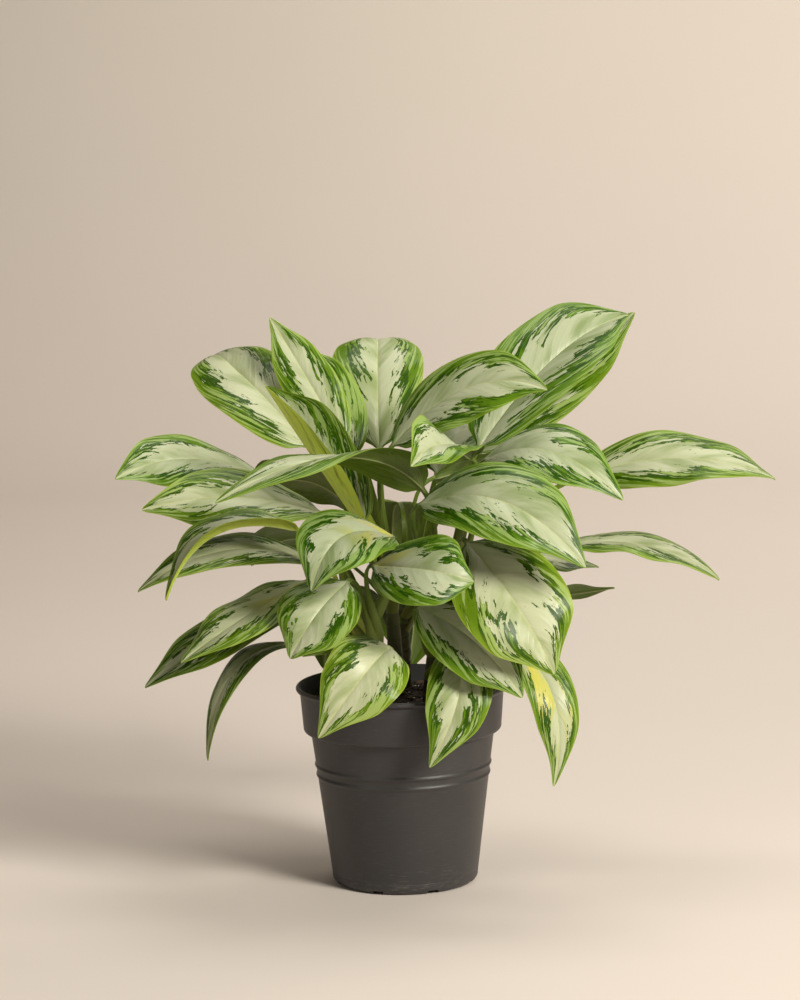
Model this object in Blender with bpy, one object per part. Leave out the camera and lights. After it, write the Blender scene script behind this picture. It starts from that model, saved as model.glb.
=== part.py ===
"""A potted Chinese evergreen: a nursery pot of soil, six canes planted in it, and the leaves they bear.

Run with: blender --background --python part.py
Metres, +Z up. The origin is the centre of the pot's underside; -Y is the plant's front.
Each leaf is one closed solid, petiole and blade together, as it grew.
"""

import math
from typing import NamedTuple

import bmesh
import bpy
from mathutils import Matrix, Vector

CM = 0.01

# Driving dimensions.
POT_DIAMETER = 0.210
POT_HEIGHT = 0.198
WALL = 0.0016
CLEARANCE = 0.0004  # between pieces that touch
SEGMENTS = 40  # round the pot

# The pot, worked out from its diameter and height.
LIP_RADIUS = POT_DIAMETER / 2
LIP_HEIGHT = 0.0055
LIP_WIDTH = 0.0034
LIP_ROUNDING = 0.0011
BAND_TOP_RADIUS = LIP_RADIUS - 0.0040
BAND_BOTTOM_RADIUS = BAND_TOP_RADIUS - 0.0028
BAND_BOTTOM = POT_HEIGHT - 0.0425
STEP_ROUNDING = 0.0035
FOOT_RADIUS = 0.0660
CORNER_ROUNDING = 0.0065
BODY_BASE_RADIUS = 0.0715
BODY_TAPER = 0.127  # radius gained for each metre of height
BEAD_HEIGHTS = (0.1185, 0.1085)
BEAD_HALF_WIDTH = 0.0038
BEAD_RISE = 0.0014
FLOOR = 0.0022
FLOOR_INSET = 0.0020  # from the foot to the inner corner

# Drainage notches, cut through the pot's bottom corner.
NOTCH_COUNT = 8
NOTCH_WIDTH = 0.011
NOTCH_HEIGHT = 0.0034
NOTCH_INNER_RADIUS = 0.052
NOTCH_OVERCUT = 0.002

SOIL_TOP = POT_HEIGHT - 0.018
SOIL_CROWN = 0.003  # how far the soil rises towards its middle
SOIL_RINGS = (0.075, 0.045)
PLANTING_DEPTH = 0.030
SOCKET_TOP = SOIL_TOP + 0.030

# Canes.
CANE_BOW = 0.30  # share of its lean that a cane bows
CANE_TAPER = 0.30  # share of its radius that a cane loses from the soil to its top
CANE_SPANS = 5
CANE_SIDES = 10

# Leaves.
PETIOLE_FOOT_RADIUS = 0.0036
PETIOLE_TOP_RADIUS = 0.0021
PETIOLE_STANDOFF = 0.0045  # from the cane's side to the middle of the petiole's foot
PETIOLE_OUTWARD = 0.45  # how far a petiole leans out as it leaves, for each unit up
PETIOLE_RISE = 0.40  # shares of the span that the foot's and the blade's directions hold
PETIOLE_ARRIVAL = 0.30
ARCH_PEAK = 6.75  # brings the greatest lift of the arch to 1
HALF_THICKNESS = 0.0004
MIDRIB_DEPTH_AT_BASE = 0.0021
MIDRIB_DEPTH_AT_TIP = 0.0006
WIDEST = 0.46  # share of the blade's length
BASE_ROUNDNESS = 0.56
TIP_PINCH = 0.48
PINCH_START = 0.68
PETIOLE_STATIONS = (0.0, 0.2, 0.45, 0.7, 0.88)
BLADE_STATIONS = (0.0, 0.05, 0.14, 0.26, 0.40, 0.54, 0.68, 0.81, 0.92)
FACE_STATION = 0.40  # where a leaf's face is given
RING_POINTS = 8
SHOOT_STATIONS = ((0, 0.85), (0.2, 1.0), (0.45, 0.92), (0.7, 0.65), (0.88, 0.32))

LEAF_GREEN = (0.20, 0.36, 0.10)
SHOOT_GREEN = (0.42, 0.55, 0.14)
CANE_GREEN = (0.28, 0.30, 0.12)
SOIL_BROWN = (0.055, 0.035, 0.022)
POT_GREY = (0.065, 0.060, 0.056)


class Cane(NamedTuple):
    """A cane's foot and top, in centimetres, and its radius at the foot."""

    foot: tuple
    top: tuple
    radius: float


class Leaf(NamedTuple):
    """A leaf, in centimetres. face is the way its upper side looks, near the middle of the blade."""

    name: str
    cane: str
    node: float  # height of the petiole's foot
    base: tuple
    middle: tuple
    tip: tuple
    width: float
    face: tuple
    fold: float = 16  # degrees that each half rises from the midrib
    sag: float = 34  # degrees that each half curves over on its way to the margin
    twist: float = 0  # degrees turned along the blade
    arch: float = 0  # how far the outer half stands above the plain curve before the tip bends away


class Shoot(NamedTuple):
    """A new leaf, still rolled into a spear, in centimetres."""

    name: str
    cane: str
    middle: tuple
    tip: tuple
    radius: float


CANES = {
    "left": Cane((-3.2, 0.2), (-4.6, 0.4, 30.0), 0.75),
    "middle": Cane((-0.4, 1.2), (-1.2, 1.6, 33.0), 0.80),
    "right": Cane((3.4, 1.6), (5.0, 2.2, 31.5), 0.75),
    "front_left": Cane((-1.6, -3.4), (-2.6, -4.8, 27.5), 0.70),
    "front_right": Cane((2.6, -3.0), (3.8, -4.4, 28.5), 0.70),
    "back": Cane((0.2, 4.8), (0.4, 6.2, 29.0), 0.75),
}

LEAVES = (
    # Left side, from the crown down.
    Leaf(
        "leaf_01_crown_left", "middle", 29.0,
        (-8.5, 3, 43), (-15.4, 9, 49.8), (-19.2, 17.5, 50.8), 9.5, (0.3, -1, 0.5), arch=0.9,
    ),
    Leaf(
        "leaf_02_upper_left", "left", 29.2,
        (-13.5, 4, 40.3), (-21, 2, 42.4), (-27.5, -2, 41), 7, (-0.1, -0.7, 0.8), twist=-50,
    ),
    Leaf(
        "leaf_03_left", "left", 25.8,
        (-7.5, -0.5, 37), (-16, -2, 39), (-25, -3, 38), 7.4, (-0.1, -0.7, 0.75), twist=-50,
    ),
    Leaf(
        "leaf_04_left_arching", "left", 24.4,
        (-9.5, -4.5, 36), (-17.5, -8.5, 36.4), (-22.5, -9, 30), 4.8, (-0.3, -0.2, 0.9), 45,
    ),
    Leaf(
        "leaf_05_left_low", "left", 23.6,
        (-8.5, 1, 32), (-17, -3, 33.9), (-25.5, -5, 30.3), 5.4, (0, -0.5, 0.9),
    ),
    Leaf(
        "leaf_06_left_low_front", "front_left", 22.6,
        (-9, -5, 31), (-15, -9, 28.3), (-21, -12, 24.5), 7.4, (-0.4, -0.5, 0.8),
    ),
    Leaf(
        "leaf_07_left_lower", "left", 21.4,
        (-10, 0, 28.5), (-17.5, -4, 25.8), (-25, -6, 21), 6.4, (-0.3, -0.6, 0.75),
    ),
    Leaf(
        "leaf_08_left_hanging", "left", 20.0,
        (-8.5, -2, 24), (-15.8, -6, 23), (-19, -8, 14), 4.2, (-0.6, -0.4, 0.7),
    ),
    # Middle cane.
    Leaf(
        "leaf_09_crown_spire", "middle", 32.2,
        (-5.3, 3, 43.5), (-8.7, 6, 49.5), (-12.5, 9, 55.6), 5.6, (0.2, -1, 0.3),
    ),
    Leaf(
        "leaf_10_crown_behind", "middle", 31.0,
        (-4.8, 6, 41.5), (-7, 9, 47.5), (-10.5, 12, 52.5), 7, (0.2, -1, 0.3),
    ),
    Leaf(
        "leaf_11_crown_back", "middle", 30.0,
        (-1.8, 8, 42), (-1.8, 13, 50.6), (-1.6, 21, 51.4), 9.5, (0, -1, 0.5), arch=1.2,
    ),
    Leaf(
        "leaf_12_young_rolled", "middle", 27.8,
        (-3.4, -2.2, 35.6), (-8.5, -5.5, 44), (-12.3, -9, 50.5), 8.2, (0.8, -0.5, 0.28), 45, -30,
    ),
    Leaf(
        "leaf_13_crown_right", "middle", 26.8,
        (-0.5, -1, 43.5), (7, -4, 49.5), (14.5, -7, 49.4), 7.6, (-0.2, -0.8, 0.6),
    ),
    Leaf(
        "leaf_14_front_sweeping", "right", 26.5,
        (2.5, -4, 39.5), (-5.2, -12.5, 44.1), (-17, -18, 40.6), 6.6, (-0.1, 0.12, 1), twist=-100,
    ),
    # Right side, from the crown down.
    Leaf(
        "leaf_15_tall_right", "right", 30.5,
        (8, 3, 42.5), (16, 7, 51.3), (23.7, 11, 55), 10.6, (-0.45, -0.75, 0.45), 30,
    ),
    Leaf(
        "leaf_16_tall_right_back", "back", 28.6,
        (8, 8, 41.5), (16.7, 12, 48.7), (24.5, 14, 55), 7.6, (-0.3, -0.8, 0.5),
    ),
    Leaf(
        "leaf_17_right_drooping", "right", 29.2,
        (8.5, -3, 42.3), (14.8, -8, 43.6), (21.5, -10, 39), 7.8, (0.1, -0.7, 0.8),
    ),
    Leaf(
        "leaf_18_curled", "right", 24.4,
        (7.2, -4.2, 42.6), (4.1, -9.8, 44.7), (1.3, -13.8, 43.1), 6.6, (0.3, -0.45, 0.8), 30, 20, -60,
    ),
    Leaf(
        "leaf_19_far_right", "right", 27.6,
        (19, 6, 39.5), (28.5, 4, 41.2), (37.3, 1, 39.3), 7.6, (0, -0.6, 0.8), twist=-50,
    ),
    Leaf("leaf_20_right", "back", 25.4, (16, 4, 32.5), (24.5, 3, 32.7), (31.6, 0, 29.5), 6.4, (0, -0.2, 1)),
    Leaf(
        "leaf_21_right_behind", "back", 26.8,
        (9.5, 10, 32), (14.5, 12, 30.5), (20.5, 13, 29), 6, (0, -0.3, 0.9),
    ),
    Leaf(
        "leaf_22_right_low_tip", "right", 22.5,
        (10, 8, 26.5), (16, 11, 26.5), (22, 12, 27), 5, (0.1, 0.5, 0.8),
    ),
    # Front, from the top down.
    Leaf(
        "leaf_23_front_broad", "front_right", 27.4,
        (2, -7, 38.5), (10, -13, 39.5), (17.5, -16, 33.5), 9, (0.1, -0.8, 0.6),
    ),
    Leaf(
        "leaf_24_front_large", "front_right", 26.2,
        (6.5, -8, 35), (11, -13, 29.7), (14.5, -14, 23), 11, (0.2, -0.9, 0.4),
    ),
    Leaf(
        "leaf_25_front_middle", "front_left", 24.6,
        (-2.5, -10, 33.2), (2.8, -15.5, 33.5), (7, -16, 32.4), 8.2, (0, -0.8, 0.6),
    ),
    Leaf(
        "leaf_26_front_low", "front_right", 23.2,
        (1.7, -7, 28.5), (7, -12, 26), (11.5, -13, 20.6), 7.4, (-0.1, -0.9, 0.5),
    ),
    Leaf(
        "leaf_27_right_hanging", "front_right", 24.6,
        (9.5, -3, 25), (14.5, -8, 20), (14.5, -9, 11), 5, (0.3, -0.9, 0.3),
    ),
    Leaf(
        "leaf_28_front_hanging", "front_right", 20.8,
        (5, -7, 24.5), (5.5, -12, 21), (2.5, -13, 14), 6.4, (0, -1, 0.2),
    ),
    Leaf(
        "leaf_29_front_upper_left", "front_left", 27.0,
        (-0.5, -6.5, 35.4), (-5.4, -14, 36.6), (-8.3, -16, 31.8), 8, (-0.1, -0.8, 0.6),
    ),
    Leaf(
        "leaf_30_front_left", "front_left", 22.2,
        (-5, -9, 31.5), (-8, -13, 29), (-10.5, -14, 25), 7.8, (-0.2, -0.9, 0.5),
    ),
    Leaf(
        "leaf_31_front_left_behind", "left", 18.8,
        (-5.5, -5, 26), (-7.5, -8.5, 26), (-9.5, -10, 24.5), 5, (-0.2, -0.7, 0.7),
    ),
    Leaf(
        "leaf_32_front_left_hanging", "front_left", 20.6,
        (-1, -9, 25), (-3.4, -14, 23.5), (-8, -15, 17.5), 7.8, (0, -1, 0.35),
    ),
    # Back.
    Leaf(
        "leaf_33_back_upper_left", "back", 28.2,
        (-4.5, 10, 36), (-9.8, 13.5, 38.6), (-16, 17, 36.5), 8, (-0.1, 0.75, 0.65),
    ),
    Leaf("leaf_34_back_upper_right", "back", 27.5, (4, 12, 39), (7, 18, 43), (11, 25, 41), 8, (0, -0.2, 1)),
    Leaf(
        "leaf_35_back_core", "back", 25.4,
        (0.1, 10.8, 36.3), (-0.6, 14.5, 34), (-0.6, 18, 26), 8.6, (0, 0.8, 0.6),
    ),
    Leaf(
        "leaf_36_back_left", "back", 24.8,
        (-6, 11, 31), (-11, 15.5, 32.3), (-15.5, 20, 28.8), 7.5, (-0.1, 0.6, 0.75),
    ),
    Leaf(
        "leaf_37_back_right", "back", 24.0, (5.5, 12, 30), (9, 18, 30.5), (12, 24, 27), 7.5, (0.1, 0.3, 0.9),
    ),
    Leaf(
        "leaf_38_back_low_left", "back", 22.2,
        (-3.8, 9.3, 28), (-6.6, 13, 25.5), (-8, 15, 18.5), 9, (-0.2, 0.75, 0.6),
    ),
    Leaf(
        "leaf_39_back_low_right", "back", 21.0,
        (0.6, 9.8, 27), (1.4, 13.4, 24.6), (0.6, 15.4, 18), 8.6, (0.1, 0.75, 0.6),
    ),
    Leaf(
        "leaf_40_inner_right", "right", 20.6,
        (3.6, 3.4, 39.8), (8.3, 5.6, 40.2), (13, 6.6, 38.8), 5.8, (0.1, 0.75, 0.65),
    ),
)

SHOOTS = (
    Shoot("shoot_middle", "middle", (-2.0, 0.6, 36.8), (-2.8, -0.6, 41.0), 0.34),
    Shoot("shoot_right", "right", (5.8, 2.4, 34.5), (6.2, 2.6, 37.5), 0.30),
)


def clear_scene():
    for obj in list(bpy.data.objects):
        bpy.data.objects.remove(obj, do_unlink=True)


def material(name, color, roughness):
    made = bpy.data.materials.new(name)
    made.use_nodes = True
    shader = made.node_tree.nodes["Principled BSDF"]
    shader.inputs["Base Color"].default_value = (*color, 1.0)
    shader.inputs["Roughness"].default_value = roughness
    shader.inputs["Metallic"].default_value = 0.0
    return made


def object_from(bm, name, finish, smooth=True):
    bmesh.ops.recalc_face_normals(bm, faces=bm.faces)
    mesh = bpy.data.meshes.new(name)
    bm.to_mesh(mesh)
    bm.free()
    if finish is not None:
        mesh.materials.append(finish)
    if smooth:
        mesh.shade_smooth()
        mesh.set_sharp_from_angle(angle=math.radians(40))
    obj = bpy.data.objects.new(name, mesh)
    bpy.context.scene.collection.objects.link(obj)
    return obj


# Shapes made of rings: each ring is a list of points, and the two ends are closed.


def skin(rings, name, finish, tip=None):
    """A closed solid through rings of equal length, ending in a flat cap or, with a tip, in a point."""
    bm = bmesh.new()
    made = [[bm.verts.new(p) for p in ring] for ring in rings]
    for lower, upper in zip(made, made[1:]):
        for i in range(len(lower)):
            j = (i + 1) % len(lower)
            bm.faces.new((lower[i], lower[j], upper[j], upper[i]))
    bm.faces.new(made[0])
    if tip is None:
        bm.faces.new(made[-1])
    else:
        end = bm.verts.new(tip)
        for i in range(len(made[-1])):
            bm.faces.new((made[-1][i], made[-1][(i + 1) % len(made[-1])], end))
    return object_from(bm, name, finish)


def lathe(profile, name, finish):
    """A closed profile of (radius, height) points turned round the Z axis. Points on the axis close its ends."""
    bm = bmesh.new()
    columns = []
    for k in range(SEGMENTS):
        turn = 2 * math.pi * k / SEGMENTS
        columns.append([(r * math.cos(turn), r * math.sin(turn), z) for r, z in profile])
    on_axis = {i: bm.verts.new((0, 0, z)) for i, (r, z) in enumerate(profile) if r == 0}
    verts = [[on_axis.get(i) or bm.verts.new(p) for i, p in enumerate(column)] for column in columns]
    for k in range(SEGMENTS):
        here, after = verts[k], verts[(k + 1) % SEGMENTS]
        for i in range(len(profile)):
            j = (i + 1) % len(profile)
            corners = [here[i], after[i], after[j], here[j]]
            unique = list(dict.fromkeys(corners))
            if len(unique) >= 3:
                bm.faces.new(unique)
    return object_from(bm, name, finish)


# The pot and its soil.


def body_radius(z):
    return BODY_BASE_RADIUS + BODY_TAPER * z


def arc(centre, radius, start, end, steps):
    """Points on an arc in the (radius, height) plane, angles in degrees."""
    turns = (math.radians(start + (end - start) * k / steps) for k in range(steps + 1))
    return [(centre[0] + radius * math.cos(a), centre[1] + radius * math.sin(a)) for a in turns]


def pot_outside():
    """The outer wall from the foot to the lip, as (radius, height) points."""
    corner = (FOOT_RADIUS, CORNER_ROUNDING)
    points = arc(corner, CORNER_ROUNDING, -90, -8, 3)
    for height in reversed(BEAD_HEIGHTS):
        for share, rise in ((-1, 0), (0, BEAD_RISE), (1, 0)):
            z = height + share * BEAD_HALF_WIDTH
            points.append((body_radius(z) + rise, z))
    step = BAND_BOTTOM - STEP_ROUNDING
    points.append((body_radius(step), step))
    points += arc((BAND_BOTTOM_RADIUS - STEP_ROUNDING, BAND_BOTTOM), STEP_ROUNDING, -60, 0, 2)
    points.append((BAND_TOP_RADIUS, POT_HEIGHT - LIP_HEIGHT))
    points.append((LIP_RADIUS, POT_HEIGHT - LIP_HEIGHT + LIP_ROUNDING))
    points.append((LIP_RADIUS, POT_HEIGHT - LIP_ROUNDING))
    points.append((LIP_RADIUS - LIP_ROUNDING, POT_HEIGHT))
    return points


def pot_inside(margin=0.0):
    """The inner wall from the floor to the lip, drawn in by a margin, as (radius, height) points."""
    step = BAND_BOTTOM - STEP_ROUNDING
    inset = WALL + margin
    return [
        (FOOT_RADIUS - FLOOR_INSET - margin, FLOOR + margin),
        (body_radius(CORNER_ROUNDING) - inset, CORNER_ROUNDING + margin),
        (body_radius(step) - inset, step),
        (BAND_BOTTOM_RADIUS - inset, BAND_BOTTOM + WALL + margin),
        (BAND_TOP_RADIUS - inset, POT_HEIGHT - LIP_HEIGHT),
        (LIP_RADIUS - LIP_WIDTH - margin, POT_HEIGHT - LIP_ROUNDING),
    ]


def notch_cutter():
    """Blocks that pass through the bottom corner, spread evenly round the foot."""
    bm = bmesh.new()
    length = FOOT_RADIUS + CORNER_ROUNDING + NOTCH_OVERCUT - NOTCH_INNER_RADIUS
    middle = (NOTCH_INNER_RADIUS + length / 2, 0, (NOTCH_HEIGHT - NOTCH_OVERCUT) / 2)
    for k in range(NOTCH_COUNT):
        turn = Matrix.Rotation(2 * math.pi * (k + 0.5) / NOTCH_COUNT, 4, "Z")
        size = Matrix.Diagonal((length, NOTCH_WIDTH, NOTCH_HEIGHT + NOTCH_OVERCUT, 1))
        bmesh.ops.create_cube(bm, size=1.0, matrix=turn @ Matrix.Translation(middle) @ size)
    cutter = object_from(bm, "notch_cutter", None, smooth=False)
    return as_cutter(cutter)


def as_cutter(obj):
    obj.hide_render = True
    obj.display_type = "WIRE"
    return obj


def cut(obj, cutter):
    modifier = obj.modifiers.new("Cut", "BOOLEAN")
    modifier.operation = "DIFFERENCE"
    modifier.solver = "EXACT"
    modifier.object = cutter


def make_pot():
    inside = pot_inside()
    profile = [(0, 0)] + pot_outside() + inside[::-1] + [(0, FLOOR)]
    pot = lathe(profile, "nursery_pot", material("pot_plastic", POT_GREY, 0.5))
    cut(pot, notch_cutter())


def soil_height(radius):
    return SOIL_TOP + SOIL_CROWN * (1 - (radius / BAND_TOP_RADIUS) ** 2)


def make_soil():
    wall = pot_inside(CLEARANCE)
    lower = wall[:4]
    share = (SOIL_TOP - wall[3][1]) / (wall[4][1] - wall[3][1])
    rim_radius = wall[3][0] + share * (wall[4][0] - wall[3][0])
    surface = [(r, soil_height(r)) for r in SOIL_RINGS]
    profile = [(0, FLOOR + CLEARANCE)] + lower + [(rim_radius, SOIL_TOP)] + surface + [(0, soil_height(0))]
    soil = lathe(profile, "potting_soil", material("soil", SOIL_BROWN, 0.95))
    for name, cane in CANES.items():
        hole = cane_solid(cane, "hole_" + name, None, CLEARANCE, SOCKET_TOP)
        cut(soil, as_cutter(hole))


# Canes.


def cane_point(cane, height):
    """The cane's axis at a height in metres."""
    foot = Vector((cane.foot[0] * CM, cane.foot[1] * CM, SOIL_TOP))
    top = Vector(cane.top) * CM
    share = (height - foot.z) / (top.z - foot.z)
    straight = foot.lerp(top, share)
    lean = Vector((top.x - foot.x, top.y - foot.y, 0))
    return straight + lean * CANE_BOW * (share * share - share)


def cane_radius(cane, height):
    share = (height - SOIL_TOP) / (cane.top[2] * CM - SOIL_TOP)
    return cane.radius * CM * (1 - CANE_TAPER * max(0.0, share))


def circle(centre, radius, count):
    turns = (2 * math.pi * k / count for k in range(count))
    return [centre + Vector((math.cos(a), math.sin(a), 0)) * radius for a in turns]


def cane_solid(cane, name, finish, margin=0.0, top_limit=None):
    bottom = SOIL_TOP - PLANTING_DEPTH - margin
    top = top_limit or cane.top[2] * CM
    heights = [bottom + (top - bottom) * k / CANE_SPANS for k in range(CANE_SPANS + 1)]
    rings = [circle(cane_point(cane, z), cane_radius(cane, z) + margin, CANE_SIDES) for z in heights]
    return skin(rings, name, finish)


def make_canes():
    finish = material("cane", CANE_GREEN, 0.6)
    for name, cane in CANES.items():
        cane_solid(cane, "cane_" + name, finish)


# Leaves.


def bezier(points, t):
    while len(points) > 1:
        points = [a.lerp(b, t) for a, b in zip(points, points[1:])]
    return points[0]


def blade_curve(leaf):
    """Control points of the curve that runs through the blade's base, middle and tip."""
    base, middle, tip = (Vector(p) * CM for p in (leaf.base, leaf.middle, leaf.tip))
    return [base, middle * 2 - (base + tip) / 2, tip]


def blade_place(leaf, t):
    """A point on the blade's midrib."""
    outer = max(0.0, 2 * t - 1)
    lift = leaf.arch * CM * ARCH_PEAK * outer * outer * (1 - outer)
    return bezier(blade_curve(leaf), t) + Vector(leaf.face).normalized() * lift


def petiole_curve(leaf):
    """Control points from the cane's side to the blade's base, which it meets without a kink."""
    cane = CANES[leaf.cane]
    blade = blade_curve(leaf)
    base = blade[0]
    axis = cane_point(cane, leaf.node * CM)
    out = Vector((base.x - axis.x, base.y - axis.y, 0)).normalized()
    foot = axis + out * (cane_radius(cane, leaf.node * CM) + PETIOLE_STANDOFF)
    span = (base - foot).length
    leaving = (Vector((0, 0, 1)) + out * PETIOLE_OUTWARD).normalized()
    arriving = (blade[1] - base).normalized()
    return [foot, foot + leaving * span * PETIOLE_RISE, base - arriving * span * PETIOLE_ARRIVAL, base]


def half_width(t):
    """The blade's half width at a share t of its length, as a share of the greatest."""
    falling = BASE_ROUNDNESS * (1 - WIDEST) / WIDEST
    shape = (t / WIDEST) ** BASE_ROUNDNESS * ((1 - t) / (1 - WIDEST)) ** falling
    near_tip = min(1.0, max(0.0, (t - PINCH_START) / (1 - PINCH_START)))
    return shape * (1 - TIP_PINCH * near_tip * near_tip * (3 - 2 * near_tip))


def carried(normal, tangent, after):
    """The normal carried to the next station without turning about the curve."""
    return (tangent.rotation_difference(after).to_matrix() @ normal).normalized()


def frames(leaf):
    """Stations along the leaf: (part, t, place, side, up), turned to the face near the blade's middle."""
    stations = [("petiole", t, bezier(petiole_curve(leaf), t)) for t in PETIOLE_STATIONS]
    stations += [("blade", t, blade_place(leaf, t)) for t in BLADE_STATIONS]
    places = [s[2] for s in stations] + [Vector(leaf.tip) * CM]
    tangents = [(b - a).normalized() for a, b in zip(places, places[1:])]
    middle = len(PETIOLE_STATIONS) + BLADE_STATIONS.index(FACE_STATION)
    face = Vector(leaf.face)
    ups = [None] * len(stations)
    ups[middle] = (face - tangents[middle] * face.dot(tangents[middle])).normalized()
    for k in range(middle + 1, len(stations)):
        ups[k] = carried(ups[k - 1], tangents[k - 1], tangents[k])
    for k in range(middle - 1, -1, -1):
        ups[k] = carried(ups[k + 1], tangents[k + 1], tangents[k])
    for (part, t, place), tangent, up in zip(stations, tangents, ups):
        turn = math.radians(leaf.twist) * (t - 0.5 if part == "blade" else -0.5)
        turned = Matrix.Rotation(turn, 3, tangent) @ up
        yield part, t, place, tangent.cross(turned), turned


def cross_section(leaf, share, width):
    """How far across and up a point at a share of the half width lies: the half rises, then curves over."""
    fold, sag = math.radians(leaf.fold), math.radians(leaf.sag)
    across = width * (math.sin(fold) - math.sin(fold - sag * share)) / sag
    rise = width * (math.cos(fold - sag * share) - math.cos(fold)) / sag
    return across, rise


def blade_ring(leaf, t, place, side, up):
    width = max(leaf.width * CM / 2 * half_width(t), 2 * HALF_THICKNESS)
    depth = MIDRIB_DEPTH_AT_BASE + (MIDRIB_DEPTH_AT_TIP - MIDRIB_DEPTH_AT_BASE) * t
    across_mid, rise_mid = cross_section(leaf, 0.5, width)
    across_edge, rise_edge = cross_section(leaf, 1.0, width)
    outline = (
        (-across_edge, rise_edge),
        (-across_mid, rise_mid + HALF_THICKNESS),
        (0, HALF_THICKNESS),
        (across_mid, rise_mid + HALF_THICKNESS),
        (across_edge, rise_edge),
        (across_mid, rise_mid - HALF_THICKNESS),
        (0, -depth),
        (-across_mid, rise_mid - HALF_THICKNESS),
    )
    return [place + side * x + up * z for x, z in outline]


def petiole_ring(t, place, side, up):
    radius = PETIOLE_FOOT_RADIUS + (PETIOLE_TOP_RADIUS - PETIOLE_FOOT_RADIUS) * t
    turns = (math.pi - 2 * math.pi * k / RING_POINTS for k in range(RING_POINTS))
    return [place + (side * math.cos(a) + up * math.sin(a)) * radius for a in turns]


def make_leaf(leaf, finish):
    rings = []
    for part, t, place, side, up in frames(leaf):
        if part == "petiole":
            rings.append(petiole_ring(t, place, side, up))
        elif t == 0:
            rings.append(petiole_ring(1, place, side, up))
        else:
            rings.append(blade_ring(leaf, t, place, side, up))
    skin(rings, leaf.name, finish, tip=Vector(leaf.tip) * CM)


def make_shoot(shoot, finish):
    """A spear standing on its cane's top."""
    cane = CANES[shoot.cane]
    foot = Vector(cane.top) * CM + Vector((0, 0, CLEARANCE))
    middle, tip = Vector(shoot.middle) * CM, Vector(shoot.tip) * CM
    control = middle * 2 - (foot + tip) / 2
    rings = []
    for t, share in SHOOT_STATIONS:
        rings.append(circle(bezier([foot, control, tip], t), shoot.radius * CM * share, RING_POINTS))
    skin(rings, shoot.name, finish, tip=tip)


def main():
    clear_scene()
    make_pot()
    make_soil()
    make_canes()
    leaf_finish = material("leaf", LEAF_GREEN, 0.4)
    for leaf in LEAVES:
        make_leaf(leaf, leaf_finish)
    shoot_finish = material("shoot", SHOOT_GREEN, 0.4)
    for shoot in SHOOTS:
        make_shoot(shoot, shoot_finish)


main()
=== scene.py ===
"""The looks of the potted Chinese evergreen: variegated leaves, ringed canes, soil and a nursery pot.

Metres, +Z up, -Y the front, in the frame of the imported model. Leaf positions repeat the CAD source's table.
"""

import math
from typing import NamedTuple

import bmesh
import bpy
import numpy as np
from mathutils import Matrix, Vector, noise


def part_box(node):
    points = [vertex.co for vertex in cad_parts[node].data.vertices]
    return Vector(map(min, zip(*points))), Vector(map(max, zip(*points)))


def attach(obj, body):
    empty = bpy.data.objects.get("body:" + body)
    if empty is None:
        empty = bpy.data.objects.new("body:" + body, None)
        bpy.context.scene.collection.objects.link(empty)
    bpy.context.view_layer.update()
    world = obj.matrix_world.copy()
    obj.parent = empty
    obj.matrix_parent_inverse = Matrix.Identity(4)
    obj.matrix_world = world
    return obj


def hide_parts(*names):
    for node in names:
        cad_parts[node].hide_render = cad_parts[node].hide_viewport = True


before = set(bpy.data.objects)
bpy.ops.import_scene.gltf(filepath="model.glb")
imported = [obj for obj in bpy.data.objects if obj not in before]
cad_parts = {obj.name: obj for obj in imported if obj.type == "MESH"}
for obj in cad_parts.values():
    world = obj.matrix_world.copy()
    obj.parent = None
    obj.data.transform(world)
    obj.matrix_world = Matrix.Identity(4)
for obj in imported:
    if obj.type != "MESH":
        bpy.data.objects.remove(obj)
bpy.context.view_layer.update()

BODY = "root"
CM = 0.01
MM = 0.001

# The pot, from its outer box.
POT_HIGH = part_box("nursery_pot")[1]
LIP_RADIUS = POT_HIGH.x
POT_HEIGHT = POT_HIGH.z
LIP_HEIGHT = 5.5 * MM
BAND_TOP_RADIUS = LIP_RADIUS - 4.0 * MM
BAND_BOTTOM_RADIUS = BAND_TOP_RADIUS - 2.8 * MM
BAND_BOTTOM = POT_HEIGHT - 42.5 * MM
STEP_ROUNDING = 3.5 * MM
STEP_FILLET = 2 * MM  # where the body meets the step under the band
LIP_GAP = 1.2 * MM  # from the top of the band to the lip
LIP_EDGE = 0.6 * MM  # how far the lip's inner edge lies under its top
FOOT_RADIUS = 66.0 * MM
CORNER_ROUNDING = 6.5 * MM
BODY_BASE_RADIUS = FOOT_RADIUS + CORNER_ROUNDING * 0.85
BODY_TAPER = 0.127
BEAD_HEIGHTS = (118.5 * MM, 108.5 * MM)
BEAD_HALF_WIDTH = 3.2 * MM
BEAD_RISE = 1.3 * MM
FOOT_LINE = 11.0 * MM  # height of the faint ring above the foot
FOOT_LINE_DEPTH = 0.25 * MM
FOOT_LINE_HALF_WIDTH = 1.0 * MM
WALL = 1.6 * MM
FLOOR = 2.2 * MM
FLOOR_RADIUS = FOOT_RADIUS - 2 * MM
NOTCH_COUNT = 8
NOTCH_WIDTH = 11.0 * MM
NOTCH_HEIGHT = 3.4 * MM
NOTCH_INNER_RADIUS = 52.0 * MM
NOTCH_OUTER_RADIUS = FOOT_RADIUS + 20 * MM
NOTCH_BELOW = 4 * MM  # how far the cutters reach under the foot
POT_SEGMENTS = 192
POT_SMOOTH_ANGLE = 35

# The soil.
SOIL_TOP = POT_HEIGHT - 18.0 * MM
SOIL_CROWN = 3.0 * MM
SOIL_RINGS = 70
SOIL_SEGMENTS = 180
CLOD_RISE = 2.6 * MM
CLOD_FINENESS = 95
LUMP_FINENESS = 40
LUMP_SHARE = 0.6
BITS_MARGIN = 4 * MM  # how far the loose bits stay from the pot's wall

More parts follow.
